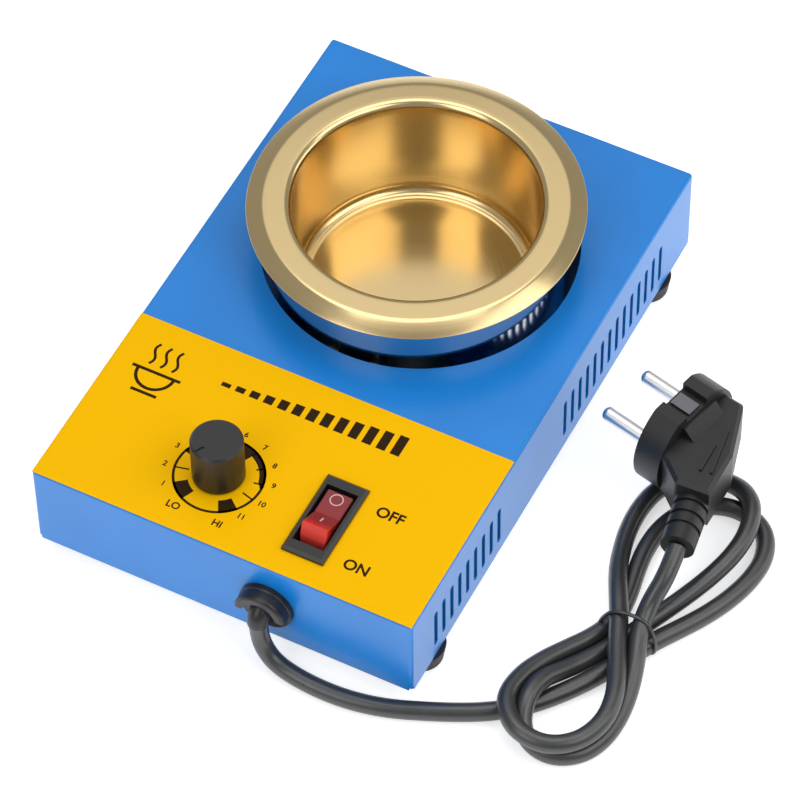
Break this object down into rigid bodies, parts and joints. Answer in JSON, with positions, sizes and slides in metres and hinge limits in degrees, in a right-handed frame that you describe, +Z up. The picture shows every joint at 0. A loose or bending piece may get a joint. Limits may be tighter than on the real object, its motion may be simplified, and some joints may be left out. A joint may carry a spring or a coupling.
{
  "type": "solder pot",
  "caption": "Table-top solder pot: a round collared melting cup in a low folded housing, with a dial knob, a rocker switch, vents, feet and a tied mains cord with an angled plug.",
  "frame": {"origin": "on the table, under the middle of the housing", "axes": "+X to the right of the control panel, +Y to the back where the cup is, +Z up"},
  "size_m": [0.2073, 0.2102, 0.0616],
  "materials": {
    "blue_paint": "semi-gloss baked paint on folded sheet",
    "zinc_steel": "bright zinc plate",
    "foot_rubber": "matt moulded rubber",
    "panel_print": "printed polycarbonate film",
    "gold_coat": "satin gold nitride coat on turned steel",
    "polished_steel": "polished stainless sheath",
    "ceramic": "unglazed steatite",
    "brass": "plain turned brass",
    "nickel": "nickel plate on brass",
    "black_plastic": "fine-grain moulded nylon",
    "red_plastic": "glossy translucent moulding",
    "shaft_metal": "plain aluminium",
    "board_green": "solder mask on glass-epoxy",
    "capacitor_case": "moulded case",
    "white_plastic": "moulded polyamide",
    "cord_pvc": "satin black flexible PVC",
    "brown_wire": "PVC insulation",
    "blue_wire": "PVC insulation",
    "earth_wire": "PVC insulation",
    "glass_sleeve": "woven glass sleeve"
  },
  "bodies": {
    "pot": {"housing": "blue_paint", "base_plate": "zinc_steel", "pot_bridge": "zinc_steel", "heat_shield": "zinc_steel", "foot_screws": "zinc_steel", "base_screws": "zinc_steel", "board_screws": "zinc_steel", "clamp_screw": "zinc_steel", "clamp_nut": "zinc_steel", "stud_nut": "zinc_steel", "earth_screw": "zinc_steel", "potentiometer": "zinc_steel", "potentiometer_nut": "zinc_steel", "foot_front_left": "foot_rubber", "foot_front_right": "foot_rubber", "foot_rear_left": "foot_rubber", "foot_rear_right": "foot_rubber", "panel_film": "panel_print", "melting_cup": "gold_coat", "heater_band": "polished_steel", "insulating_disc": "ceramic", "heater_posts": "ceramic", "heater_stems": "brass", "switch_blades": "brass", "plug_pins": "nickel", "plug_earth_clips": "nickel", "switch_body": "black_plastic", "strain_relief": "black_plastic", "triac": "black_plastic", "choke": "black_plastic", "heat_sink": "shaft_metal", "board_standoffs": "shaft_metal", "control_board": "board_green", "film_capacitor": "capacitor_case", "terminal_block": "white_plastic", "cord_lead": "cord_pvc", "cord_hank": "cord_pvc", "cord_tail": "cord_pvc", "plug_body": "cord_pvc", "cord_tie": "cord_pvc", "live_lead": "brown_wire", "switch_lead": "brown_wire", "board_lead": "brown_wire", "neutral_lead": "blue_wire", "control_lead": "blue_wire", "earth_lead": "earth_wire", "heater_lead_left": "glass_sleeve", "heater_lead_right": "glass_sleeve"},
    "dial": {"knob": "black_plastic", "potentiometer_shaft": "shaft_metal"},
    "rocker": {"switch_rocker": "red_plastic"}
  },
  "joints": [
    {"name": "dial_turn", "type": "hinge", "parent": "pot", "child": "dial", "pos_m": [-0.0132, -0.0746, 0.0458], "axis": [0, 0, 1], "range_deg": [-306, 0]},
    {"name": "rocker_tilt", "type": "hinge", "parent": "pot", "child": "rocker", "pos_m": [0.0239, -0.0755, 0.0388], "axis": [1, 0, 0], "range_deg": [0, 28]}
  ]
}
